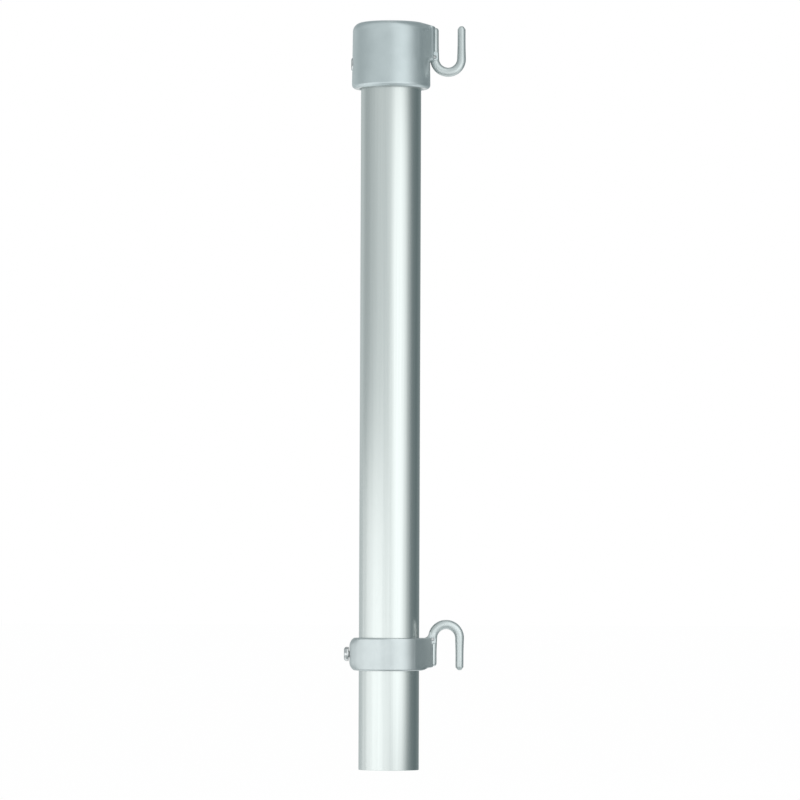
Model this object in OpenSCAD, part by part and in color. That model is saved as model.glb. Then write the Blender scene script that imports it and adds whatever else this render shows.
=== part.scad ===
// Head section of a sectional flagpole: a round tube, a cast cap and a sliding
// collar, each with a J-hook for the halyard end of a flag. Millimetres, +Z up.
// The origin is on the pole's axis at the tube's lower rim; +X points to the hooks.

/* [Tube] */
// Outer diameter of the tube
tube_d = 50; // [42:1:70]
// Wall of the tube
tube_wall = 2; // [1.5:0.1:4]
// Length of the tube
tube_length = 613; // [300:1:2000]

/* [Cap] */
// Height of the cap
cap_height = 55; // [45:1:90]
// Wall of the cap round the tube
cap_wall = 7.4; // [6.5:0.1:12]
// Thickness of the cap over the end of the tube
cap_crown = 6.7; // [4:0.1:12]
// How much narrower the cap is at its top, on the radius
cap_draft = 0.6; // [0:0.1:1.5]
// Rounding of the cap's top edge
cap_top_round = 7.5; // [3:0.5:12]
// Rounding of the cap's lower edge
cap_foot_round = 3.5; // [1:0.5:5]
// Gap between the tube and the cap's bore, on the radius
cap_fit = 0.2; // [0.1:0.05:0.5]
// Height of the cap's screw over the cap's lower edge
cap_screw_rise = 20.3; // [16:0.5:30]
// Depth of the flat sinking for the cap's screw head
cap_spot_depth = 3.3; // [3:0.1:5]

/* [Collar] */
// Height of the collar
collar_height = 27; // [24:1:50]
// Wall of the collar
collar_wall = 4.7; // [3.5:0.1:8]
// Height of the collar's lower edge over the foot of the tube
collar_lift = 82.2; // [20:1:250]
// Rounding of the collar's edges
collar_round = 1.3; // [0.5:0.1:2]
// Gap between the tube and the collar's bore, on the radius
collar_fit = 0.3; // [0.2:0.05:0.6]
// How far the screw boss stands out from the collar
boss_height = 2.8; // [1.5:0.1:6]
// Diameter of the boss's flat face
boss_face_d = 13; // [13:0.5:18]
// Rounding from the boss's face back into the collar
boss_round = 8.6; // [8:0.1:14]

/* [Hooks] */
// Diameter of the hook's rod
rod_d = 6.6; // [5:0.1:8]
// How much thicker the rod is in the bend, on the radius
bend_swell = 0.55; // [0.2:0.05:1]
// Radius of the bend, to the middle of the rod
bend_radius = 11.15; // [9:0.1:16]
// Length of the cap hook's straight leg, which lies in the lug
cap_seat_leg = 25.6; // [20:0.1:40]
// Length of the cap hook's free leg
cap_free_leg = 27.2; // [15:0.1:40]
// Length of the collar hook's straight leg, which lies in the lug
collar_seat_leg = 23.4; // [20:0.1:40]
// Length of the collar hook's free leg
collar_free_leg = 26.6; // [15:0.1:40]
// Distance from the tube to the middle of the seated leg
hook_reach = 11.1; // [9.8:0.1:14]
// Gap round the rod in its seat, on the radius
seat_fit = 0.05; // [0.02:0.01:0.2]
// Height of the cap hook's bend centre over the cap's lower edge
cap_hook_rise = 25.4; // [22:0.1:33]
// Diameter of the cross pin through the rod
pin_d = 2.4; // [1.5:0.1:3]
// Distance of the cross pin from the bend's centre, towards the legs
pin_back = 1; // [0:0.1:1.5]
// Gap round the cross pin, on the radius
pin_fit = 0.05; // [0.02:0.01:0.1]

/* [Screws] */
// Thread diameter of the screws
screw_d = 6; // [5:1:6]
// Diameter of the pan head
head_d = 12; // [10:0.5:12]
// Height of the pan head
head_height = 4; // [3.5:0.1:5]
// Gap round the thread, on the radius
thread_fit = 0.1; // [0.05:0.05:0.3]
// Gap between a screw's tip and the tube
tip_gap = 0.3; // [0.1:0.05:0.5]
// Gap between the collar's boss and its screw head
collar_head_gap = 0.6; // [0.3:0.1:3]

/* [Hidden] */
$fn = 96;
arc_steps = 8;
pin_fn = 32;
tube_r = tube_d / 2;
end_gap = 0.3;
cap_bore_r = tube_r + cap_fit;
cap_r = cap_bore_r + cap_wall;
cap_top_r = cap_r - cap_draft;
cap_top = tube_length + end_gap + cap_crown;
cap_bottom = cap_top - cap_height;
cap_mouth = 1.4;
collar_bore_r = tube_r + collar_fit;
collar_r = collar_bore_r + collar_wall;
collar_top = collar_lift + collar_height;
collar_mid = collar_lift + collar_height / 2;
boss_face_r = collar_r + boss_height;
boss_root_r = collar_bore_r + 0.5;
rod_r = rod_d / 2;
bend_r = rod_r + bend_swell;
rod_x = tube_r + hook_reach;
free_x = 2 * bend_radius;
bend_taper = 6;
end_round = rod_r * 0.7;
tip_flat_r = 1.1;
tip_edge_r = 1.7;
tip_edge_h = 0.4;
tip_h = 2.4;
cap_hook_z = cap_bottom + cap_hook_rise;
collar_hook_z = collar_top;
lug_root_x = tube_r + 3.6 - rod_x;
lug_root_half = 9;
lug_nose_x = -0.7;
lug_nose_half = rod_r + 0.4;
lug_lip_half = rod_r + 0.1;
lug_over = 1.2;
lug_fillet = 2.5;
web_overlap = 1.2;
web_end = 1;
web_foot = 4;
roof_drop = 0.3;
roof_fall = 12;
cheek_half = rod_r + 0.8;
cheek_reach = rod_r * 0.78;
cheek_corner_x = 1.1;
cheek_corner_y = 1.4;
cheek_below = 4.6;
cheek_above = 1.4;
shoulder = 2.6;
pin_sink = 0.2;
head_side = 1.5;
head_edge = 0.3;
head_dome = 75;
tip_chamfer = 0.6;
tip_narrowing = 0.2;
head_seat_gap = 0.05;
spot_d = head_d + 1;
cap_screw_z = cap_bottom + cap_screw_rise;
cap_seat_x = cap_r - cap_spot_depth;
collar_seat_x = boss_face_r + collar_head_gap;
tip_x = tube_r + tip_gap;
recess_w = 1.3;
recess_l = 6.2;
recess_depth = 2.4;

// Points of an arc about (cx, cy), from angle a to angle b
function arc(cx, cy, r, a, b) = [for (i = [0:arc_steps])
    let (t = a + (b - a) * i / arc_steps) [cx + r * cos(t), cy + r * sin(t)]];

// A prism between two heights
module prism(low, high) {
    translate([0, 0, low]) linear_extrude(height = high - low) children();
}

// The bend of a hook's rod over +X, with its swelling ends; grow widens it evenly
module hook_bend(grow = 0) {
    for (x = [0, free_x]) translate([x, 0, -bend_taper])
        cylinder(h = bend_taper, r1 = rod_r + grow, r2 = bend_r + grow);
    translate([bend_radius, 0, 0]) rotate([90, 0, 0])
        rotate_extrude(angle = 180) translate([bend_radius, 0]) circle(r = bend_r + grow, $fn = 48);
}

// One J-hook: seated leg down from the origin, bend over +X, free leg down
module hook(seat_leg, free_leg) {
    difference() {
        union() {
            hook_bend();
            translate([0, 0, -seat_leg]) rotate_extrude() polygon(concat([[0, 0]],
                arc(rod_r - end_round, end_round, end_round, -90, 0),
                [[rod_r, seat_leg - bend_taper], [0, seat_leg - bend_taper]]));
            translate([free_x, 0, -free_leg]) rotate_extrude() polygon([[0, 0],
                [tip_flat_r, 0], [tip_edge_r, tip_edge_h], [rod_r, tip_h],
                [rod_r, free_leg - bend_taper], [0, free_leg - bend_taper]]);
        }
        pin_hole();
    }
}

// Seat of a hook in its lug: the bend's start, and a groove that runs out past the leg's end
module hook_seat(seat_leg) {
    groove = seat_leg + 2 * lug_over + lug_fillet;
    hook_bend(seat_fit);
    translate([0, 0, -groove]) cylinder(h = groove - bend_taper, r = rod_r + seat_fit);
}

// The cross pin of a hook, its ends a little short of the cheeks' faces
module hook_pin() {
    translate([0, 0, -pin_back]) rotate([90, 0, 0])
        cylinder(h = 2 * (cheek_half - pin_sink), r = pin_d / 2, center = true, $fn = pin_fn);
}

// Hole for a hook's cross pin
module pin_hole() {
    translate([0, 0, -pin_back]) rotate([90, 0, 0])
        cylinder(h = 4 * cheek_half, r = pin_d / 2 + pin_fit, center = true, $fn = pin_fn);
}

// Outline of a lug in plan, from inside the casting's wall to the middle of the rod
module lug_plan() {
    polygon([[lug_root_x, -lug_root_half], [lug_nose_x, -lug_nose_half], [0, -lug_lip_half],
        [0, lug_lip_half], [lug_nose_x, lug_nose_half], [lug_root_x, lug_root_half]]);
}

// Outline in plan of the cheeks that close round the rod beside its pin
module cheek_plan() {
    back = lug_root_x + 2;
    corner_x = cheek_reach - cheek_corner_x;
    corner_y = cheek_half - cheek_corner_y;
    polygon([[back, -cheek_half], [corner_x, -cheek_half], [cheek_reach, -corner_y],
        [cheek_reach, corner_y], [corner_x, cheek_half], [back, cheek_half]]);
}

// Lug for a hook whose bend centre is the origin, down to the height low.
// wall_r is the radius of the casting that it grows from.
module lug(low, wall_r) {
    wall_x = wall_r - rod_x;
    prism(low, 0) lug_plan();
    prism(-cheek_below, cheek_above) cheek_plan();
    // web up the back of the bend, hollowed to a fillet
    rotate([90, 0, 0]) linear_extrude(height = 2 * rod_r, center = true) difference() {
        translate([wall_x - web_overlap, -web_foot])
            square([web_overlap - web_end - wall_x, web_foot + shoulder]);
        translate([wall_x, lug_fillet]) circle(r = lug_fillet, $fn = 48);
    }
}

// Space under the cap lug's sloping roof, which meets the cap just below its flat top
module lug_roof() {
    start_x = cap_top_r - cap_top_round;
    start_z = cap_top - roof_drop;
    end_x = 2 * rod_x;
    rotate([90, 0, 0]) linear_extrude(height = 4 * lug_root_half, center = true)
        polygon([[0, cap_bottom], [end_x, cap_bottom],
            [end_x, start_z - (end_x - start_x) * tan(roof_fall)], [start_x, start_z], [0, start_z]]);
}

// A pan-head screw along -X whose head seats at the origin's plane; reach is its shank
module pan_screw(reach) {
    difference() {
        rotate([0, -90, 0]) union() {
            translate([0, 0, tip_chamfer - reach]) cylinder(h = reach - tip_chamfer, r = screw_d / 2);
            translate([0, 0, -reach])
                cylinder(h = tip_chamfer, r1 = screw_d / 2 - tip_chamfer, r2 = screw_d / 2 - tip_narrowing);
            rotate_extrude() polygon(concat([[0, 0], [head_d / 2 - head_edge, 0], [head_d / 2, head_edge]],
                arc(head_d / 2 - head_height + head_side, head_side,
                    head_height - head_side, 0, head_dome), [[0, head_height]]));
        }
        for (turn = [0, 90]) rotate([turn, 0, 0])
            translate([-head_height - 1, -recess_l / 2, -recess_w / 2])
                cube([recess_depth + 1, recess_l, recess_w]);
    }
}

// Threaded hole along -X, with a flat sinking for the head from seat_x outwards
module screw_hole(seat_x, wall_x) {
    rotate([0, -90, 0]) {
        translate([0, 0, tube_r - 1]) cylinder(h = wall_x - tube_r + 2, r = screw_d / 2 + thread_fit);
        translate([0, 0, seat_x]) cylinder(h = wall_x - seat_x + 3, r = spot_d / 2);
    }
}

// Rounded boss for the collar's screw, within the collar's height
module screw_boss() {
    centre = boss_face_r - boss_round;
    intersection() {
        translate([0, 0, collar_mid]) rotate([0, -90, 0]) rotate_extrude()
            polygon(concat([[0, boss_root_r]], arc(boss_face_d / 2, centre, boss_round,
                asin((boss_root_r - centre) / boss_round), 90), [[0, boss_face_r]]));
        translate([-2 * collar_r, -collar_r, collar_lift])
            cube([2 * collar_r, 2 * collar_r, collar_height]);
    }
}

// The round aluminium tube, square-cut at both ends
module pole_tube() {
    color([0.80, 0.82, 0.82]) difference() {
        cylinder(h = tube_length, r = tube_r);
        translate([0, 0, -1]) cylinder(h = tube_length + 2, r = tube_r - tube_wall);
    }
}

// The cast cap with the lug for its hook
module cap() {
    mouth_r = cap_bore_r + cap_mouth;
    bore_top = cap_top - cap_crown;
    color([0.70, 0.74, 0.74]) difference() {
        union() {
            rotate_extrude() polygon(concat([[0, bore_top], [cap_bore_r, bore_top],
                [cap_bore_r, cap_bottom + cap_mouth], [mouth_r, cap_bottom]],
                arc(cap_r - cap_foot_round, cap_bottom + cap_foot_round, cap_foot_round, -90, 0),
                arc(cap_top_r - cap_top_round, cap_top - cap_top_round, cap_top_round, 0, 90),
                [[0, cap_top]]));
            intersection() {
                translate([rod_x, 0, cap_hook_z]) mirror([0, 0, 1]) lug(cap_hook_z - cap_top, cap_r);
                lug_roof();
            }
        }
        translate([rod_x, 0, cap_hook_z]) mirror([0, 0, 1]) hook_seat(cap_seat_leg);
        translate([rod_x, 0, cap_hook_z]) mirror([0, 0, 1]) pin_hole();
        translate([0, 0, cap_screw_z]) screw_hole(cap_seat_x, cap_r);
    }
}

// The sliding collar: ring, lug and screw boss in one casting
module collar() {
    color([0.72, 0.76, 0.76]) difference() {
        union() {
            rotate_extrude() polygon(concat([[collar_bore_r, collar_lift]],
                arc(collar_r - collar_round, collar_lift + collar_round, collar_round, -90, 0),
                arc(collar_r - collar_round, collar_top - collar_round, collar_round, 0, 90),
                [[collar_bore_r, collar_top]]));
            translate([rod_x, 0, collar_hook_z]) lug(-collar_seat_leg - lug_over, collar_r);
            screw_boss();
        }
        translate([rod_x, 0, collar_hook_z]) hook_seat(collar_seat_leg);
        translate([rod_x, 0, collar_hook_z]) pin_hole();
        translate([0, 0, collar_mid]) screw_hole(boss_face_r, boss_face_r);
        translate([0, 0, collar_lift - 1]) cylinder(h = collar_height + 2, r = collar_bore_r);
    }
}

// The cap's J-hook, opening upwards
module cap_hook() {
    color([0.72, 0.76, 0.76]) translate([rod_x, 0, cap_hook_z]) mirror([0, 0, 1])
        hook(cap_seat_leg, cap_free_leg);
}

// Cross pin of the cap's hook
module cap_hook_pin() {
    color([0.62, 0.65, 0.65]) translate([rod_x, 0, cap_hook_z]) mirror([0, 0, 1]) hook_pin();
}

// Screw that holds the cap on the tube
module cap_screw() {
    color([0.80, 0.80, 0.80]) translate([-cap_seat_x - head_seat_gap, 0, cap_screw_z])
        pan_screw(cap_seat_x + head_seat_gap - tip_x);
}

// The collar's J-hook, opening downwards
module collar_hook() {
    color([0.72, 0.76, 0.76]) translate([rod_x, 0, collar_hook_z])
        hook(collar_seat_leg, collar_free_leg);
}

// Cross pin of the collar's hook
module collar_hook_pin() {
    color([0.62, 0.65, 0.65]) translate([rod_x, 0, collar_hook_z]) hook_pin();
}

// Screw that clamps the collar at its height
module collar_screw() {
    color([0.80, 0.80, 0.80]) translate([-collar_seat_x, 0, collar_mid])
        pan_screw(collar_seat_x - tip_x);
}

pole_tube();
cap();
cap_hook();
cap_hook_pin();
cap_screw();
collar();
collar_hook();
collar_hook_pin();
collar_screw();
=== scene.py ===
import math

import bmesh
import bpy
from mathutils import Matrix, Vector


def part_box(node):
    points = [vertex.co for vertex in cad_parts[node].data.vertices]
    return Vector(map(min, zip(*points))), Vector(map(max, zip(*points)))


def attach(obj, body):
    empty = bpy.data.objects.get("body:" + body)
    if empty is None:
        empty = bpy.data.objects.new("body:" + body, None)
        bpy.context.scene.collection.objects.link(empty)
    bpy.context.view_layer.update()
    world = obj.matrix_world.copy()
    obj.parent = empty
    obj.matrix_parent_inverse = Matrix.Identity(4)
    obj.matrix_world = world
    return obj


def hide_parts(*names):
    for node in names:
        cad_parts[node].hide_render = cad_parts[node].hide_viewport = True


# Head section of a sectional flagpole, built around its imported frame. Metres, +Z up.
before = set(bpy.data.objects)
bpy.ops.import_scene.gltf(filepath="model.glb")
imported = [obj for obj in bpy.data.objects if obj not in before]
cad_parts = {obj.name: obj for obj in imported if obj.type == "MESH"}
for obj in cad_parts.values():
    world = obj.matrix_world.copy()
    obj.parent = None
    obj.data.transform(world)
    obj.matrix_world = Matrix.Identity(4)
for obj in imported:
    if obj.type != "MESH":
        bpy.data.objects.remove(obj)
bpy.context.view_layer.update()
mm = 0.001
tiny = 1e-6
margin = 0.05 * mm  # for telling one ring of a mesh from the next
print("stage: frame loaded")


def turned(degrees, axis):
    return Matrix.Rotation(math.radians(degrees), 4, axis)


def putInScene(name, data):
    thing = bpy.data.objects.new(name, data)
    bpy.context.scene.collection.objects.link(thing)
    return thing


cameraSetup = {
    "distance": 4.5,  # from the pole's axis
    "eyeHeight": 0.165,  # over the pole's foot
    "pitch": 1.8,  # degrees upwards
    "roll": 0.216,  # degrees, so that the pole leans a little to the right
    "yaw": 0.106,  # degrees, to the right of the axis
    "lens": 244.1,  # millimetres
    "sensor": 36,  # millimetres
    "reach": 60,
}


def makeCamera(setup):
    data = bpy.data.cameras.new("camera")
    data.lens = setup["lens"]
    data.sensor_width = setup["sensor"]
    data.clip_end = setup["reach"]
    camera = putInScene("camera", data)
    place = Matrix.Translation((0, -setup["distance"], setup["eyeHeight"]))
    upright = turned(90 + setup["pitch"], "X")
    camera.matrix_world = place @ turned(-setup["yaw"], "Z") @ upright @ turned(setup["roll"], "Z")
    bpy.context.scene.camera = camera


makeCamera(cameraSetup)


def smoothStep(low, high, value):
    t = min(max((value - low) / (high - low), 0.0), 1.0)
    return t * t * (3 - 2 * t)


def softMax(a, b, blend):  # the larger of two, with the corner between them rounded
    near = max(blend - abs(a - b), 0.0) / blend
    return max(a, b) + near * near * blend / 4


def softMin(a, b, blend):
    return -softMax(-a, -b, blend)


def arcPoints(cx, cz, radius, start, end, steps):
    turns = [math.radians(start + (end - start) * i / steps) for i in range(steps + 1)]
    return [(cx + radius * math.cos(t), cz + radius * math.sin(t)) for t in turns]


def between(start, end, steps):  # points on a straight line, without its two ends
    shares = [i / steps for i in range(1, steps)]
    return [(start[0] + (end[0] - start[0]) * s, start[1] + (end[1] - start[1]) * s) for s in shares]


def finishMesh(bm, name, sharpAngle=40):
    bmesh.ops.remove_doubles(bm, verts=bm.verts, dist=tiny)
    bmesh.ops.recalc_face_normals(bm, faces=bm.faces)
    for face in bm.faces:
        face.smooth = True
    for edge in bm.edges:
        if len(edge.link_faces) == 2:
            edge.smooth = edge.calc_face_angle() < math.radians(sharpAngle)
    mesh = bpy.data.meshes.new(name)
    bm.to_mesh(mesh)
    bm.free()
    return putInScene(name, mesh)


def spinProfile(profile, sectors):  # a (radius, height) outline turned about Z, one sector after another
    bm = bmesh.new()
    verts = [bm.verts.new((r, 0, z)) for r, z in profile]
    edges = [bm.edges.new((verts[i - 1], verts[i])) for i in range(1, len(verts))]
    if profile[0][0] > tiny:  # a ring's outline is closed
        edges.append(bm.edges.new((verts[-1], verts[0])))
    last = verts + edges
    for degrees, steps in sectors:
        result = bmesh.ops.spin(bm, geom=last, cent=(0, 0, 0), axis=(0, 0, 1),
                                angle=math.radians(degrees), steps=steps)
        last = result["geom_last"]
    bmesh.ops.remove_doubles(bm, verts=bm.verts, dist=tiny)
    return bm


def rodThrough(stations, segments=32):  # a rod in the XZ plane; a station is x, z, turn and radius
    bm = bmesh.new()
    rings = []
    for x, z, turn, radius in stations:
        place = Matrix.Translation((x, 0, z)) @ turned(turn, "Y")
        ring = bmesh.ops.create_circle(bm, segments=segments, radius=radius, matrix=place)
        rings.append(ring["verts"])
    for first, second in zip(rings, rings[1:]):
        edges = {e for v in first + second for e in v.link_edges if len(e.link_faces) < 2
                 and e.other_vert(v) in first + second}
        bmesh.ops.bridge_loops(bm, edges=list(edges))
    for ring in (rings[0], rings[-1]):
        bm.faces.new(ring)
    return bm


def cutAway(piece, cutters, sharpAngle=40):  # takes the cutters' shapes out of a piece
    for cutter in cutters:
        change = piece.modifiers.new("cut", "BOOLEAN")
        change.operation = "DIFFERENCE"
        change.solver = "EXACT"
        change.object = cutter
    graph = bpy.context.evaluated_depsgraph_get()
    mesh = bpy.data.meshes.new_from_object(piece.evaluated_get(graph))
    piece.modifiers.clear()
    piece.data = mesh
    for cutter in cutters:
        bpy.data.objects.remove(cutter)
    mesh.shade_smooth()
    mesh.set_sharp_from_angle(angle=math.radians(sharpAngle))


def latheCutter(profile, place, steps=48):  # a solid of revolution, turned and moved by a matrix
    bm = spinProfile(profile, [(360, steps)])
    bmesh.ops.transform(bm, matrix=place, verts=bm.verts)
    return finishMesh(bm, "cutter")


def addPiece(piece, body, material, nodes):
    piece.data.materials.clear()
    piece.data.materials.append(material)
    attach(piece, body)
    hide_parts(*nodes)


def newMaterial(name):
    material = bpy.data.materials.new(name)
    material.use_nodes = True
    nodes = material.node_tree.nodes
    links = material.node_tree.links
    return material, nodes, links, nodes["Principled BSDF"]


def stretchedNoise(nodes, links, scale, detail, stretch=(1, 1, 1)):
    coords = nodes.new("ShaderNodeTexCoord")
    mapping = nodes.new("ShaderNodeMapping")
    mapping.inputs["Scale"].default_value = stretch
    noise = nodes.new("ShaderNodeTexNoise")
    noise.inputs["Scale"].default_value = scale
    noise.inputs["Detail"].default_value = detail
    links.new(coords.outputs["Object"], mapping.inputs["Vector"])
    links.new(mapping.outputs["Vector"], noise.inputs["Vector"])
    return noise


def ramp(nodes, links, source, stops):
    node = nodes.new("ShaderNodeValToRGB")
    for index, (place, colour) in enumerate(stops):
        if index > 1:
            node.color_ramp.elements.new(place)
        node.color_ramp.elements[index].position = place
        node.color_ramp.elements[index].color = colour
    links.new(source, node.inputs["Fac"])
    return node


def colourFrom(noise, nodes, links, shader, look):  # dark to light over its spread
    start, end = look["spread"]
    tone = ramp(nodes, links, noise.outputs["Fac"],
                [(start, (*look["dark"], 1)), (end, (*look["light"], 1))])
    links.new(tone.outputs["Color"], shader.inputs["Base Color"])
    shader.inputs["Metallic"].default_value = look["metallic"]
    shader.inputs["Roughness"].default_value = look["roughness"]


def bumpFrom(noise, nodes, links, shader, look):
    bump = nodes.new("ShaderNodeBump")
    bump.inputs["Strength"].default_value = look["bump"]
    bump.inputs["Distance"].default_value = look["depth"]
    links.new(noise.outputs["Fac"], bump.inputs["Height"])
    links.new(bump.outputs["Normal"], shader.inputs["Normal"])


# streaks, cloud and grain are a noise's scale and detail, and its stretch if it has one
tubeFinish = {
    "dark": (0.575, 0.595, 0.58),
    "light": (0.60, 0.62, 0.605),
    "metallic": 1,
    "roughness": 0.27,
    "streaks": (900, 3, (1, 1, 0.006)),
    "spread": (0.35, 0.65),
    "bump": 0.3,
    "depth": 0.004 * mm,
}


def drawnAluminium(look):
    material, nodes, links, shader = newMaterial("drawn_anodised_aluminium")
    streaks = stretchedNoise(nodes, links, *look["streaks"])
    colourFrom(streaks, nodes, links, shader, look)
    bumpFrom(streaks, nodes, links, shader, look)
    return material


capFinish = {
    "dark": (0.485, 0.53, 0.535),
    "light": (0.54, 0.585, 0.59),
    "metallic": 0.72,
    "roughness": 0.31,
    "cloud": (60, 4),
    "spread": (0.3, 0.7),
    "grain": (900, 3),
    "bump": 0.25,
    "depth": 0.11 * mm,
}
collarFinish = capFinish | {
    "dark": (0.46, 0.49, 0.49),
    "light": (0.515, 0.545, 0.545),
    "metallic": 0.85,
    "roughness": 0.30,
    "depth": 0.03 * mm,
}
hookFinish = capFinish | {
    "dark": (0.52, 0.55, 0.545),
    "light": (0.57, 0.60, 0.595),
    "metallic": 0.8,
    "roughness": 0.36,
    "depth": 0.012 * mm,
}


def satinAluminium(name, look):
    material, nodes, links, shader = newMaterial(name)
    colourFrom(stretchedNoise(nodes, links, *look["cloud"]), nodes, links, shader, look)
    bumpFrom(stretchedNoise(nodes, links, *look["grain"]), nodes, links, shader, look)
    return material


screwFinish = {
    "dark": (0.46, 0.46, 0.46),
    "light": (0.60, 0.60, 0.60),
    "metallic": 1,
    "roughness": 0.14,
    "cloud": (500, 3),
    "spread": (0.3, 0.7),
    "bump": 0.2,
    "depth": 0.01 * mm,
}


def brightSteel(look):
    material, nodes, links, shader = newMaterial("bright_steel")
    cloud = stretchedNoise(nodes, links, *look["cloud"])
    colourFrom(cloud, nodes, links, shader, look)
    bumpFrom(cloud, nodes, links, shader, look)
    return material


tubeMetal = drawnAluminium(tubeFinish)
capMetal = satinAluminium("satin_cast_cap", capFinish)
collarMetal = satinAluminium("satin_cast_collar", collarFinish)
hookMetal = satinAluminium("satin_hook_rod", hookFinish)
screwMetal = brightSteel(screwFinish)
print("stage: finishes made")

tubeLow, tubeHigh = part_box("pole_tube")
tubeR = tubeHigh.x
tubeShape = {"wall": 2 * mm, "edgeBreak": 0.25 * mm, "steps": 192}


def makeTube(shape):
    inner = tubeR - shape["wall"]
    edge = shape["edgeBreak"]
    low, high = tubeLow.z, tubeHigh.z
    outline = [(inner, low + edge), (inner + edge, low), (tubeR - edge, low), (tubeR, low + edge),
               (tubeR, high - edge), (tubeR - edge, high), (inner + edge, high), (inner, high - edge)]
    return finishMesh(spinProfile(outline, [(360, shape["steps"])]), "tube")


addPiece(makeTube(tubeShape), "pole", tubeMetal, ["pole_tube"])
print("stage: tube made")

capLow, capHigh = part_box("cap")
collarLow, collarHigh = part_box("collar")
capHookLow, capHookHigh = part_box("cap_hook")
collarHookLow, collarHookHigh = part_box("collar_hook")
capPinLow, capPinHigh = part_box("cap_hook_pin")
collarPinLow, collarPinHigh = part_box("collar_hook_pin")
capScrewLow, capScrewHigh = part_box("cap_screw")
collarScrewLow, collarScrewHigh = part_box("collar_screw")

hookShape = {
    "rod": 3.3 * mm,  # radius of the legs
    "bend": 3.85 * mm,  # radius of the rod in the bend
    "taper": 14 * mm,  # length over which a leg swells towards the bend
    "legRamp": (0, 1.6),  # how it swells: by shares of the taper, then by degrees of the bend
    "bendRamp": (-20, 60),
    "capLeg": 25.6 * mm,  # the seated legs' lengths from the bend's centre
    "collarLeg": 23.4 * mm,
    "endRound": 2.3 * mm,
    "legSteps": 6,
    "bendSteps": 48,
    # the free leg's tip: millimetres from its end, and in from the rod's side
    "tip": [(3.0, 0), (2.4, 0.12), (0.6, 1.45), (0.2, 1.8), (0, 2.4)],
}
rodX = capHookLow.x + hookShape["bend"]  # middle of the seated leg
freeX = capHookHigh.x - hookShape["bend"]  # middle of the free leg
bendR = (freeX - rodX) / 2
capHookZ = capHookLow.z + bendR + hookShape["bend"]  # height of each bend's centre
collarHookZ = collarHookHigh.z - bendR - hookShape["bend"]

lugShape = {
    "halfArc": math.radians(45),  # it lies within this angle from +X
    "noseX": rodX + 0.8 * mm,  # how far its lips reach along the rod's sides
    "noseHalf": hookShape["rod"] - 0.1 * mm,
    "noseRound": 1.6 * mm,
    "fillet": 0.3 * mm,
    "ridgeAt": math.radians(11.6),  # a low ridge down each flank, at this angle from +X
    "ridgeHalf": math.radians(2.9),
    "cheekX": rodX + 2.5 * mm,
    "cheekHalf": 4.9 * mm,
    "cheekRound": 0.9 * mm,
    "cheekFillet": 0.8 * mm,
    "cheekBelow": -4.6 * mm,  # from the bend's centre, towards the legs
    "cheekAbove": 1.4 * mm,  # and towards the bend
    "belowSoft": 0.35 * mm,  # half of the height over which it grows there
    "aboveSoft": 0.5 * mm,
}


def lugReach(turn, side, wall, ridge, shape):  # in plan; side is the height over the bend's centre
    along, across = math.cos(turn), max(abs(math.sin(turn)), tiny)
    noseX, noseHalf = shape["noseX"], shape["noseHalf"]
    lean = math.asin(wall / math.hypot(noseX, noseHalf)) - math.atan2(noseHalf, noseX)
    flank = wall / math.sin(min(abs(turn) + lean, math.pi / 2))  # leaves the wall at a tangent
    wedge = softMin(flank, noseX / along, shape["noseRound"])
    aside = min(abs(abs(turn) - shape["ridgeAt"]) / shape["ridgeHalf"], 1)
    wedge += ridge * math.cos(aside * math.pi / 2) ** 2
    cheek = softMin(shape["cheekX"] / along, shape["cheekHalf"] / across, shape["cheekRound"])
    low, lowSoft = shape["cheekBelow"], shape["belowSoft"]
    high, highSoft = shape["cheekAbove"], shape["aboveSoft"]
    inCheek = smoothStep(low - lowSoft, low + lowSoft, side)
    inCheek *= 1 - smoothStep(high - highSoft, high + highSoft, side)
    return wedge + (softMax(wedge, cheek, shape["cheekFillet"]) - wedge) * inCheek


capShape = {
    "radius": -capLow.y,
    "bore": tubeR + 0.2 * mm,
    "crown": 6.7 * mm,
    "draft": 0.6 * mm,
    "topRound": 7.5 * mm,
    "footRound": 3.5 * mm,
    "mouth": 1.4 * mm,
    "ridge": 0.55 * mm,
    "lugRound": 1.2 * mm,
    "lugBlend": 3 * mm,  # reach over which the wall's top turns into the lug's roof
    "roofDrop": 0.3 * mm,
    "roofFall": 0.2126,  # the lug roof's slope
    "lugBelow": 1.6 * mm,  # how far the lug runs on below the bend's centre
    "lugEnd": 1.6 * mm,  # height over which it dies away below that, at the nose
    "flankEnd": 3,  # times as much on the flanks, from and to these angles in radians
    "flankArc": (0.12, 0.35),
    "sectors": [(22, 66), (130, 87), (56, 56), (130, 87), (22, 66)],  # degrees and steps
}


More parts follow.
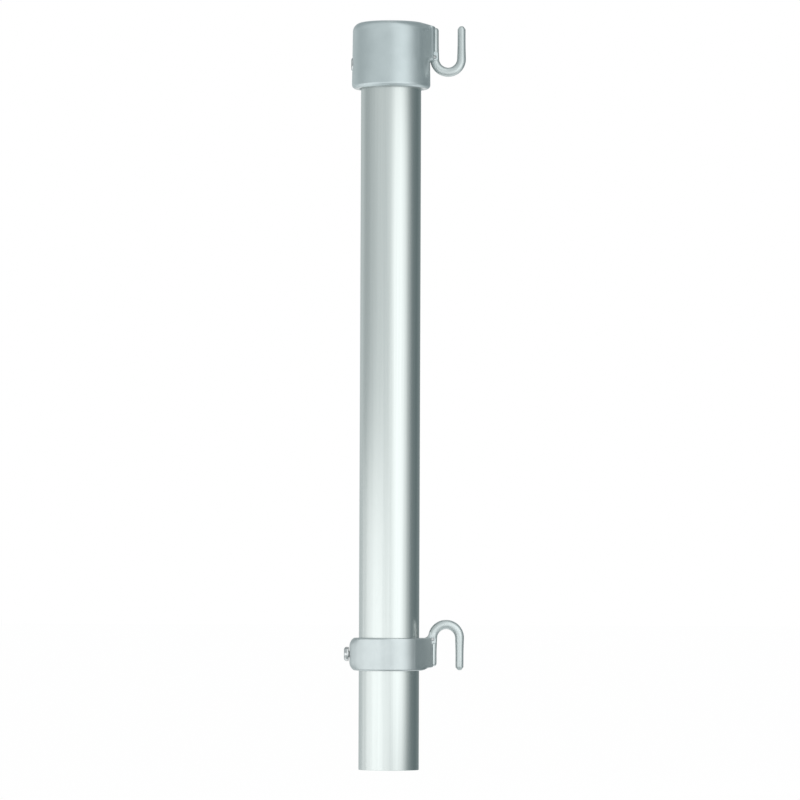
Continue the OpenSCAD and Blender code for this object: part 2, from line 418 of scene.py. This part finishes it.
def makeCap(shape, lug):
    low, high = capLow.z, capHigh.z
    foot, top = shape["radius"], shape["radius"] - shape["draft"]
    bore, mouth = shape["bore"], shape["mouth"]
    shoulder, footRound, edge = shape["topRound"], shape["footRound"], shape["lugRound"]
    flatR = top - shoulder  # radius of the flat top
    crownZ, wallLow, wallHigh = high - shape["crown"], low + footRound, high - shoulder
    outline = [(0, crownZ), (bore, crownZ), (bore, low + mouth), (bore + mouth, low)]
    outline += between((bore + mouth, low), (foot - footRound, low), steps=4)
    outline += arcPoints(foot - footRound, wallLow, footRound, -90, 0, steps=10)
    outline += between((foot, wallLow), (top, wallHigh), steps=110)
    outline += arcPoints(flatR, wallHigh, shoulder, 0, 90, steps=24)
    outline += between((flatR, high), (0, high), steps=12) + [(0, high)]
    bm = spinProfile(outline, shape["sectors"])
    lugLow = capHookZ - shape["lugBelow"] - shape["lugEnd"]
    for v in bm.verts:
        radius = math.hypot(v.co.x, v.co.y)
        inside = radius < bore + margin and v.co.z < crownZ + margin
        if inside or radius < tiny or v.co.z < low + 2 * footRound:
            continue
        turn = math.atan2(v.co.y, v.co.x)
        if abs(turn) > lug["halfArc"]:
            continue
        wall = foot + (top - foot) * (v.co.z - wallLow) / (wallHigh - wallLow)
        wall = min(max(wall, top), foot)
        reach = softMax(wall, lugReach(turn, capHookZ - v.co.z, wall, shape["ridge"], lug), lug["fillet"])
        onFlank = smoothStep(*shape["flankArc"], abs(turn))
        ending = shape["lugEnd"] * (1 + (shape["flankEnd"] - 1) * onFlank)
        grown = (reach - wall) * smoothStep(lugLow, lugLow + ending, v.co.z)
        share = smoothStep(0, shape["lugBlend"], grown)
        roofZ = high - shape["roofDrop"] - shape["roofFall"] * (wall + grown - flatR)
        if v.co.z < wallHigh - tiny:  # the wall
            newR = radius + grown
            stretch = max((v.co.z - capHookZ) / (wallHigh - capHookZ), 0)
            v.co.z += share * stretch * (roofZ - edge - wallHigh)
        elif radius > flatR:  # the rounded shoulder
            angle = math.atan2(v.co.z - wallHigh, radius - flatR)
            lugOut = top + grown - edge + edge * math.cos(angle)
            lugUp = roofZ - edge + edge * math.sin(angle)
            newR = radius + (lugOut - radius) * share
            v.co.z += (lugUp - v.co.z) * share
        else:  # the flat top
            newR = radius * (1 + (grown + shoulder - edge) * share / flatR)
            run = max(0, newR - flatR)
            v.co.z -= share * (shape["roofDrop"] + shape["roofFall"] * run) * radius / flatR
        v.co.x = newR * math.cos(turn)
        v.co.y = newR * math.sin(turn)
    return finishMesh(bm, "cap_casting", sharpAngle=50)


collarShape = {
    "radius": collarHigh.y,
    "height": 27 * mm,
    "bore": tubeR + 0.3 * mm,
    "boreEdge": 0.3 * mm,
    "round": 1.3 * mm,
    "ridge": 0.12 * mm,
    "lugBlend": 6 * mm,
    "lugOver": 1.2 * mm,  # how far the lug runs on past the seated leg's end
    "lugDrawn": 0.4,  # share of the collar's height over which it is drawn down there
    "endRound": 1.6 * mm,
    "endTuck": 0.8,
    "webStart": rodX - 7.7 * mm,  # a web up the back of the bend
    "webRise": 5.0 * mm,
    "webSides": (2.6 * mm, 4.2 * mm),  # where its flanks start and end, from its middle
    "bossFaceR": 6.5 * mm,
    "bossRound": 8.6 * mm,
    "bossEdge": 0.5 * mm,
    "bossArc": (math.radians(4), math.radians(68)),  # from -X, over which the ring thickens into the boss
    "bossSwell": 3.9 * mm,
    "bossFade": 0.9,  # radians from -X within which its upper and lower sides fall away
    "sectors": [(22, 66), (120, 80), (76, 114), (120, 80), (22, 66)],  # degrees and steps
}


def bossReach(away, rise, face, shape):  # away is the angle from -X, rise the height from its middle
    wall, curve = shape["radius"], shape["bossRound"]
    swell = wall + shape["bossSwell"] * (1 - smoothStep(*shape["bossArc"], away))
    outer = softMin(face / math.cos(away), swell, shape["bossEdge"])
    out = max(abs(rise) - shape["bossFaceR"], 0)
    drop = (curve - math.sqrt(curve * curve - out * out)) * (1 - smoothStep(0, shape["bossFade"], away))
    return max(outer - wall, 0) * max(1 - drop / (face - wall), 0)


def makeCollar(shape, lug):
    wall, bore, edge, corner = shape["radius"], shape["bore"], shape["boreEdge"], shape["round"]
    inner, outer = bore + edge, wall - corner  # the end faces' radii
    high = collarHookZ
    low = high - shape["height"]
    middle, face = (low + high) / 2, -collarLow.x
    lugLow = collarHookZ - hookShape["collarLeg"] - shape["lugOver"]
    outline = [(bore, low + edge), (inner, low)] + between((inner, low), (outer, low), steps=8)
    outline += arcPoints(outer, low + corner, corner, -90, 0, steps=8)
    outline += between((wall, low + corner), (wall, high - corner), steps=60)
    outline += arcPoints(outer, high - corner, corner, 0, 90, steps=8)
    outline += between((outer, high), (inner, high), steps=24) + [(inner, high), (bore, high - edge)]
    bm = spinProfile(outline, shape["sectors"])
    for v in bm.verts:
        radius = math.hypot(v.co.x, v.co.y)
        if radius < inner + margin:
            continue
        turn = math.atan2(v.co.y, v.co.x)
        away = math.pi - abs(turn)
        out = smoothStep(inner, outer, radius)
        if abs(turn) < lug["halfArc"]:
            reach = softMax(wall, lugReach(turn, v.co.z - high, wall, shape["ridge"], lug), lug["fillet"])
            grown = (reach - wall) * out
            share = smoothStep(0, shape["lugBlend"], grown)
            drawn = max(0, 1 - (v.co.z - low) / (shape["lugDrawn"] * (high - low)))
            v.co.z += share * drawn * (lugLow - low)
            endR = shape["endRound"]
            below = max(0, endR - (v.co.z - lugLow))
            tuck = endR - math.sqrt(max(endR * endR - below * below, 0))
            newR = radius + grown - share * out * tuck * shape["endTuck"]
            if v.co.z > high - tiny:  # the web
                webR = shape["webRise"]
                run = min(max(newR * math.cos(turn) - shape["webStart"], 0), webR)
                rise = webR - math.sqrt(webR * webR - run * run)
                v.co.z += rise * (1 - smoothStep(*shape["webSides"], newR * abs(math.sin(turn))))
        elif away < shape["bossArc"][1]:
            newR = radius + bossReach(away, v.co.z - middle, face, shape) * out
        else:
            continue
        v.co.x = newR * math.cos(turn)
        v.co.y = newR * math.sin(turn)
    return finishMesh(bm, "collar_casting", sharpAngle=50)


def legStations(x, turn, shape):  # from the leg's straight part to the bend
    rod, bend, steps = shape["rod"], shape["bend"], shape["legSteps"]
    shares = [i / steps for i in range(steps + 1)]
    return [(x, -shape["taper"] * (1 - s), turn, rod + (bend - rod) * smoothStep(*shape["legRamp"], s))
            for s in shares]


def makeHook(name, shape, seatLeg, freeLeg, centreZ, upward):
    rod, bend, end, steps = shape["rod"], shape["bend"], shape["endRound"], shape["bendSteps"]
    stations = []
    for i in range(7):  # rounded end of the seated leg, 15 degrees at a time
        a = math.radians(15 * i)
        stations.append((0, end * (1 - math.cos(a)) - seatLeg, 0, rod - end + end * math.sin(a)))
    stations += legStations(0, 0, shape)
    swell = stations[-1][3]
    start = smoothStep(*shape["bendRamp"], 0)
    for i in range(1, steps):
        degrees = 180 * i / steps
        share = (smoothStep(*shape["bendRamp"], min(degrees, 180 - degrees)) - start) / (1 - start)
        c, s = math.cos(math.radians(degrees)), math.sin(math.radians(degrees))
        stations.append((bendR - bendR * c, bendR * s, degrees, swell + (bend - swell) * share))
    stations += legStations(2 * bendR, 180, shape)[::-1]
    stations += [(2 * bendR, up * mm - freeLeg, 180, rod - cut * mm) for up, cut in shape["tip"]]
    bm = rodThrough(stations)
    flip = Matrix.Scale(-1 if upward else 1, 4, (0, 0, 1))
    bmesh.ops.transform(bm, matrix=Matrix.Translation((rodX, 0, centreZ)) @ flip, verts=bm.verts)
    return finishMesh(bm, name, sharpAngle=50)


pinShape = {
    "clearance": 0.05 * mm,
    "flare": 0.25 * mm,  # of the hole, where it comes out of a cheek
    "holeEnd": 6 * mm,  # from the pin's middle, clear of the cheeks
    "inset": 0.3 * mm,  # of the pin's ends in the cheeks
    "edge": 0.2 * mm,
    "steps": 32,
}


def pinCutter(low, high):  # a hole through both cheeks
    radius, out = (high.x - low.x) / 2 + pinShape["clearance"], lugShape["cheekHalf"]
    flare, end = pinShape["flare"], pinShape["holeEnd"]
    outline = [(0, -end), (radius + 2 * flare, -end), (radius + flare, -out), (radius, flare - out),
               (radius, out - flare), (radius + flare, out), (radius + 2 * flare, end), (0, end)]
    place = Matrix.Translation(((low.x + high.x) / 2, 0, (low.z + high.z) / 2))
    return latheCutter(outline, place @ turned(-90, "X"), pinShape["steps"])


def makePin(name, low, high):
    radius, end = (high.x - low.x) / 2, lugShape["cheekHalf"] - pinShape["inset"]
    length, edge = 2 * end, pinShape["edge"]
    outline = [(0, 0), (radius - edge, 0), (radius, edge), (radius, length - edge),
               (radius - edge, length), (0, length)]
    place = Matrix.Translation(((low.x + high.x) / 2, -end, (low.z + high.z) / 2))
    bm = spinProfile(outline, [(360, pinShape["steps"])])
    bmesh.ops.transform(bm, matrix=place @ turned(-90, "X"), verts=bm.verts)
    return finishMesh(bm, name)


screwHole = {
    "radius": 3.1 * mm,
    "edge": 0.3 * mm,
    "inner": 1 * mm,  # how far it starts inside the tube's surface
    "outer": 3 * mm,  # and ends outside the casting
    "capSeat": 29.3 * mm,  # where the head sits in the cap, from the axis
    "capSink": 6.5 * mm,  # radius of the flat sinking round it
    "sinkEdge": 0.2 * mm,
    "sinkFlare": 0.6 * mm,
    "steps": 64,
}


def screwCutter(low, high, seat, face, sink=0):  # a threaded hole along -X, with or without a flat sinking
    hole, edge = screwHole["radius"], screwHole["edge"]
    start, out = tubeR - screwHole["inner"], face + screwHole["outer"]
    outline = [(0, start), (hole, start), (hole, seat - edge), (hole + edge, seat)]
    if sink:
        rim = face - screwHole["sinkEdge"]
        outline += [(sink, seat), (sink, rim), (sink + screwHole["sinkFlare"], out)]
    else:
        outline += [(hole + edge, out)]
    outline += [(0, out)]
    place = Matrix.Translation((0, 0, (low.z + high.z) / 2)) @ turned(-90, "Y")
    return latheCutter(outline, place, screwHole["steps"])


grooveShape = {
    "clearance": 0.05 * mm,
    "within": 2.5 * mm,  # how far it starts before the seated leg's end
    "beyond": 8 * mm,  # and runs on past it
}


def grooveCutter(centreZ, start, end):  # the rod's groove, run out past the seated leg's end
    radius = hookShape["rod"] + grooveShape["clearance"]
    outline = [(0, start), (radius, start), (radius, end), (0, end)]
    return latheCutter(outline, Matrix.Translation((rodX, 0, centreZ)))


capLeg, collarLeg = hookShape["capLeg"], hookShape["collarLeg"]
within, beyond = grooveShape["within"], grooveShape["beyond"]

cap = makeCap(capShape, lugShape)
cutAway(cap, [pinCutter(capPinLow, capPinHigh),
              grooveCutter(capHookZ, capLeg - within, capLeg + beyond),
              screwCutter(capScrewLow, capScrewHigh, screwHole["capSeat"], capShape["radius"],
                          screwHole["capSink"])])
addPiece(cap, "pole", capMetal, ["cap"])
collar = makeCollar(collarShape, lugShape)
cutAway(collar, [pinCutter(collarPinLow, collarPinHigh),
                 grooveCutter(collarHookZ, -collarLeg - beyond, within - collarLeg),
                 screwCutter(collarScrewLow, collarScrewHigh, -collarLow.x, -collarLow.x)])
addPiece(collar, "collar", collarMetal, ["collar"])
print("stage: castings made")

capFreeLeg = capHookHigh.z - capHookZ
capHook = makeHook("hook_on_cap", hookShape, capLeg, capFreeLeg, capHookZ, True)
addPiece(capHook, "pole", hookMetal, ["cap_hook"])
collarFreeLeg = collarHookZ - collarHookLow.z
collarHook = makeHook("hook_on_collar", hookShape, collarLeg, collarFreeLeg, collarHookZ, False)
addPiece(collarHook, "collar", hookMetal, ["collar_hook"])
print("stage: hooks made")

screwShape = {
    "thread": 3 * mm,  # radius over the thread
    "threadDepth": 0.55 * mm,
    "threadFlank": 1.25,  # over 1, so that the roots are flat
    "threadStep": 0.1 * mm,  # height between its rings
    "pitch": 1 * mm,
    "taper": 0.8 * mm,  # at the tip
    "head": 6 * mm,
    "headHeight": 4 * mm,
    "side": 1.5 * mm,  # height of the head's side under its dome
    "edge": 0.3 * mm,
    "domeArc": 78,  # degrees
    "domeIn": 1 * mm,  # from the dome's centre in to the flat top
    "recess": (0.65 * mm, 3.1 * mm, 2.4 * mm),  # half width, half length and depth of the cross
    "recessFloor": (0.8, 0.62),  # its width and length at the floor, as shares of those at the top
    "steps": 64,
}


def cutRecess(screw, shape, top):  # a cross of two blocks that narrow towards their floor
    half, length, deep = shape["recess"]
    floorWidth, floorLength = shape["recessFloor"]
    cutters = []
    for turn in (0, 90):
        bm = bmesh.new()
        bmesh.ops.create_cube(bm, size=1)
        for v in bm.verts:
            upper = v.co.z > 0
            v.co.x *= 2 * half * (1 if upper else floorWidth)
            v.co.y *= 2 * length * (1 if upper else floorLength)
            v.co.z = top + 1 * mm if upper else top - deep
        bmesh.ops.transform(bm, matrix=turned(turn, "Z"), verts=bm.verts)
        cutters.append(finishMesh(bm, "cutter"))
    cutAway(screw, cutters, sharpAngle=35)


def makeScrew(name, shape, low, high):
    top, tip = -low.x, -high.x
    seat = top - shape["headHeight"]
    head, edge, thread, taper = shape["head"], shape["edge"], shape["thread"], shape["taper"]
    domeZ = seat + shape["side"]
    domeR = top - domeZ
    outline = [(0, tip), (thread - taper, tip)]
    outline += between((thread, tip), (thread, seat), int((seat - tip) / shape["threadStep"]))
    outline += [(thread, seat), (head - edge, seat), (head - edge * 0.3, seat + edge * 0.3)]
    outline += [(head, seat + edge)] + arcPoints(head - domeR, domeZ, domeR, 0, shape["domeArc"], steps=14)
    outline += [(head - domeR - shape["domeIn"], top), (0, top)]
    bm = spinProfile(outline, [(360, shape["steps"])])
    for v in bm.verts:
        radius = math.hypot(v.co.x, v.co.y)
        if abs(radius - thread) < tiny and v.co.z < seat:
            phase = (v.co.z / shape["pitch"] + math.atan2(v.co.y, v.co.x) / (2 * math.pi)) % 1
            depth = shape["threadDepth"] * min(abs(2 * phase - 1) * shape["threadFlank"], 1)
            depth *= smoothStep(tip, tip + taper, v.co.z)
            v.co.x *= (radius - depth) / radius
            v.co.y *= (radius - depth) / radius
    screw = finishMesh(bm, name, sharpAngle=35)
    cutRecess(screw, shape, top)
    screw.data.transform(Matrix.Translation((0, 0, (low.z + high.z) / 2)) @ turned(-90, "Y"))
    return screw


capScrew = makeScrew("screw_in_cap", screwShape, capScrewLow, capScrewHigh)
addPiece(capScrew, "pole", screwMetal, ["cap_screw"])
collarScrew = makeScrew("screw_in_collar", screwShape, collarScrewLow, collarScrewHigh)
addPiece(collarScrew, "collar", screwMetal, ["collar_screw"])
capPin = makePin("pin_in_cap", capPinLow, capPinHigh)
addPiece(capPin, "pole", screwMetal, ["cap_hook_pin"])
collarPin = makePin("pin_in_collar", collarPinLow, collarPinHigh)
addPiece(collarPin, "collar", screwMetal, ["collar_hook_pin"])
print("stage: screws and pins made")

# a direction is in degrees, from the backdrop over the pole's left and front to the backdrop again
studio = {
    "floorHalf": 12,
    "floorGrey": 0.9,
    "floorWhite": 0.985,  # share of plain white in what the camera sees of the floor
    "cool": 0.02,  # how cool the room's light is, and how much more so where it is dim
    "coolDim": 0.05,
    "round": [(-180, 0.6), (-150, 0.75), (-135, 0.82), (-105, 0.56), (-75, 0.73), (-45, 0.9),
              (-15, 0.9), (0, 0.85), (15, 1.2), (30, 1.37), (45, 1.24), (60, 0.81), (75, 0.38), (90, 0.31),
              (120, 0.22), (150, 0.34), (180, 0.46)],
    "overhead": [(-180, 0.45), (-125, 0.5), (-90, 0.85), (-10, 0.9), (15, 1.35), (50, 1.35), (75, 0.6),
                 (100, 0.35), (180, 0.45)],
    "underneath": [(-180, 1.3), (-100, 1.3), (-60, 1.0), (0, 0.55), (60, 0.8), (120, 1.1), (180, 1.3)],
    "backdrop": [(-180, 1), (-168, 0), (168, 0), (180, 1)],  # where metal shows the plain white backdrop
    # the bands' heights and strengths: a height is 0 straight down, 0.5 level and 1 straight up
    "roundBand": [(0.15, 0), (0.33, 1), (0.56, 1), (0.70, 0)],
    "overheadBand": [(0.56, 0), (0.70, 1)],
    "underneathBand": [(0.15, 1), (0.33, 0)],
    # rows of soft lamps curved round the pole: metres, and each lamp's degrees from the front and watts
    "lampRows": [
        {"away": 1.0, "height": 0.04, "size": (0.42, 0.46),
         "lamps": [(-10, 0.36), (-35, 0.55), (-60, 0.57), (-85, 0.5), (-110, 0.3)]},
        {"away": 0.55, "height": 0.3, "size": (0.145, 0.6),
         "lamps": [(0, 0.05), (15, 0.12), (30, 0.11), (45, 0.13), (60, 0.13), (75, 0.07)]},
    ],
}


def grey(level, cool=0.0):  # cool is taken off the red, and a fifth of it goes on the blue
    return (level * (1 - cool), level, level * (1 + cool * 0.2), 1)


def makeFloor(setup):
    bm = bmesh.new()
    bmesh.ops.create_grid(bm, x_segments=1, y_segments=1, size=setup["floorHalf"])
    mesh = bpy.data.meshes.new("floor")
    bm.to_mesh(mesh)
    bm.free()
    floor = putInScene("floor", mesh)
    material, nodes, links, shader = newMaterial("floor_white")
    shader.inputs["Base Color"].default_value = grey(setup["floorGrey"])
    shader.inputs["Roughness"].default_value = 0.9
    shader.inputs["Specular IOR Level"].default_value = 0
    path = nodes.new("ShaderNodeLightPath")
    share = nodes.new("ShaderNodeMath")
    share.operation = "MULTIPLY"
    share.inputs[1].default_value = setup["floorWhite"]
    plain = nodes.new("ShaderNodeEmission")
    plain.inputs["Color"].default_value = grey(1)
    mix = nodes.new("ShaderNodeMixShader")
    links.new(path.outputs["Is Camera Ray"], share.inputs[0])
    links.new(share.outputs[0], mix.inputs["Fac"])
    links.new(shader.outputs["BSDF"], mix.inputs[1])
    links.new(plain.outputs["Emission"], mix.inputs[2])
    links.new(mix.outputs["Shader"], nodes["Material Output"].inputs["Surface"])
    mesh.materials.append(material)
    floor.visible_glossy = False


def makeWorld(setup):
    world = bpy.data.worlds.new("studio")
    bpy.context.scene.world = world
    world.use_nodes = True
    nodes, links = world.node_tree.nodes, world.node_tree.links
    nodes.clear()
    coords = nodes.new("ShaderNodeTexCoord")
    apart = nodes.new("ShaderNodeSeparateXYZ")
    links.new(coords.outputs["Generated"], apart.inputs["Vector"])

    def mathNode(operation, first, second, third=0.0):
        node = nodes.new("ShaderNodeMath")
        node.operation = operation
        for socket, value in zip(node.inputs, (first, second, third)):
            if isinstance(value, (int, float)):
                socket.default_value = value
            else:
                links.new(value, socket)
        return node.outputs[0]

    def combined(operation, first, second):
        node = nodes.new("ShaderNodeVectorMath")
        node.operation = operation
        links.new(first, node.inputs[0])
        links.new(second, node.inputs[1])
        return node.outputs["Vector"]

    towards = mathNode("MULTIPLY", apart.outputs["Y"], -1)
    turn = mathNode("ARCTAN2", apart.outputs["X"], towards)
    share = mathNode("MULTIPLY_ADD", turn, 1 / (2 * math.pi), 0.5)
    height = mathNode("MULTIPLY_ADD", apart.outputs["Z"], 0.5, 0.5)

    def allRound(stops, heights):  # levels up to 2 by direction, kept to a band of heights
        tones = [(d, grey(v / 2, setup["cool"] + setup["coolDim"] / v)) for d, v in stops]
        level = ramp(nodes, links, share, [((d + 180) / 360, tone) for d, tone in tones])
        band = ramp(nodes, links, height, [(h, grey(2 * v)) for h, v in heights])
        return combined("MULTIPLY", level.outputs["Color"], band.outputs["Color"])

    room = allRound(setup["round"], setup["roundBand"])
    room = combined("ADD", room, allRound(setup["overhead"], setup["overheadBand"]))
    room = combined("ADD", room, allRound(setup["underneath"], setup["underneathBand"]))
    back = nodes.new("ShaderNodeBackground")
    links.new(room, back.inputs["Color"])
    seen = nodes.new("ShaderNodeBackground")
    seen.inputs["Color"].default_value = grey(1)
    path = nodes.new("ShaderNodeLightPath")
    behind = ramp(nodes, links, share, [((d + 180) / 360, grey(v)) for d, v in setup["backdrop"]])
    mirrored = mathNode("ADD", path.outputs["Is Glossy Ray"], path.outputs["Is Transmission Ray"])
    white = mathNode("MULTIPLY_ADD", mirrored, behind.outputs["Color"], path.outputs["Is Camera Ray"])
    mix = nodes.new("ShaderNodeMixShader")
    links.new(white, mix.inputs["Fac"])
    links.new(back.outputs["Background"], mix.inputs[1])
    links.new(seen.outputs["Background"], mix.inputs[2])
    out = nodes.new("ShaderNodeOutputWorld")
    links.new(mix.outputs["Shader"], out.inputs["Surface"])


def makeLamps(rows):
    for row in rows:
        place = Matrix.Translation((0, -row["away"], row["height"])) @ turned(90, "X")
        for degrees, watts in row["lamps"]:
            data = bpy.data.lights.new("softLamp", "AREA")
            data.shape = "RECTANGLE"
            data.size, data.size_y = row["size"]
            data.energy = watts
            lamp = putInScene("softLamp", data)
            lamp.matrix_world = turned(degrees, "Z") @ place
            lamp.visible_camera = False


makeFloor(studio)
makeWorld(studio)
makeLamps(studio["lampRows"])
bpy.context.scene.view_settings.view_transform = "Standard"
print("stage: studio made")
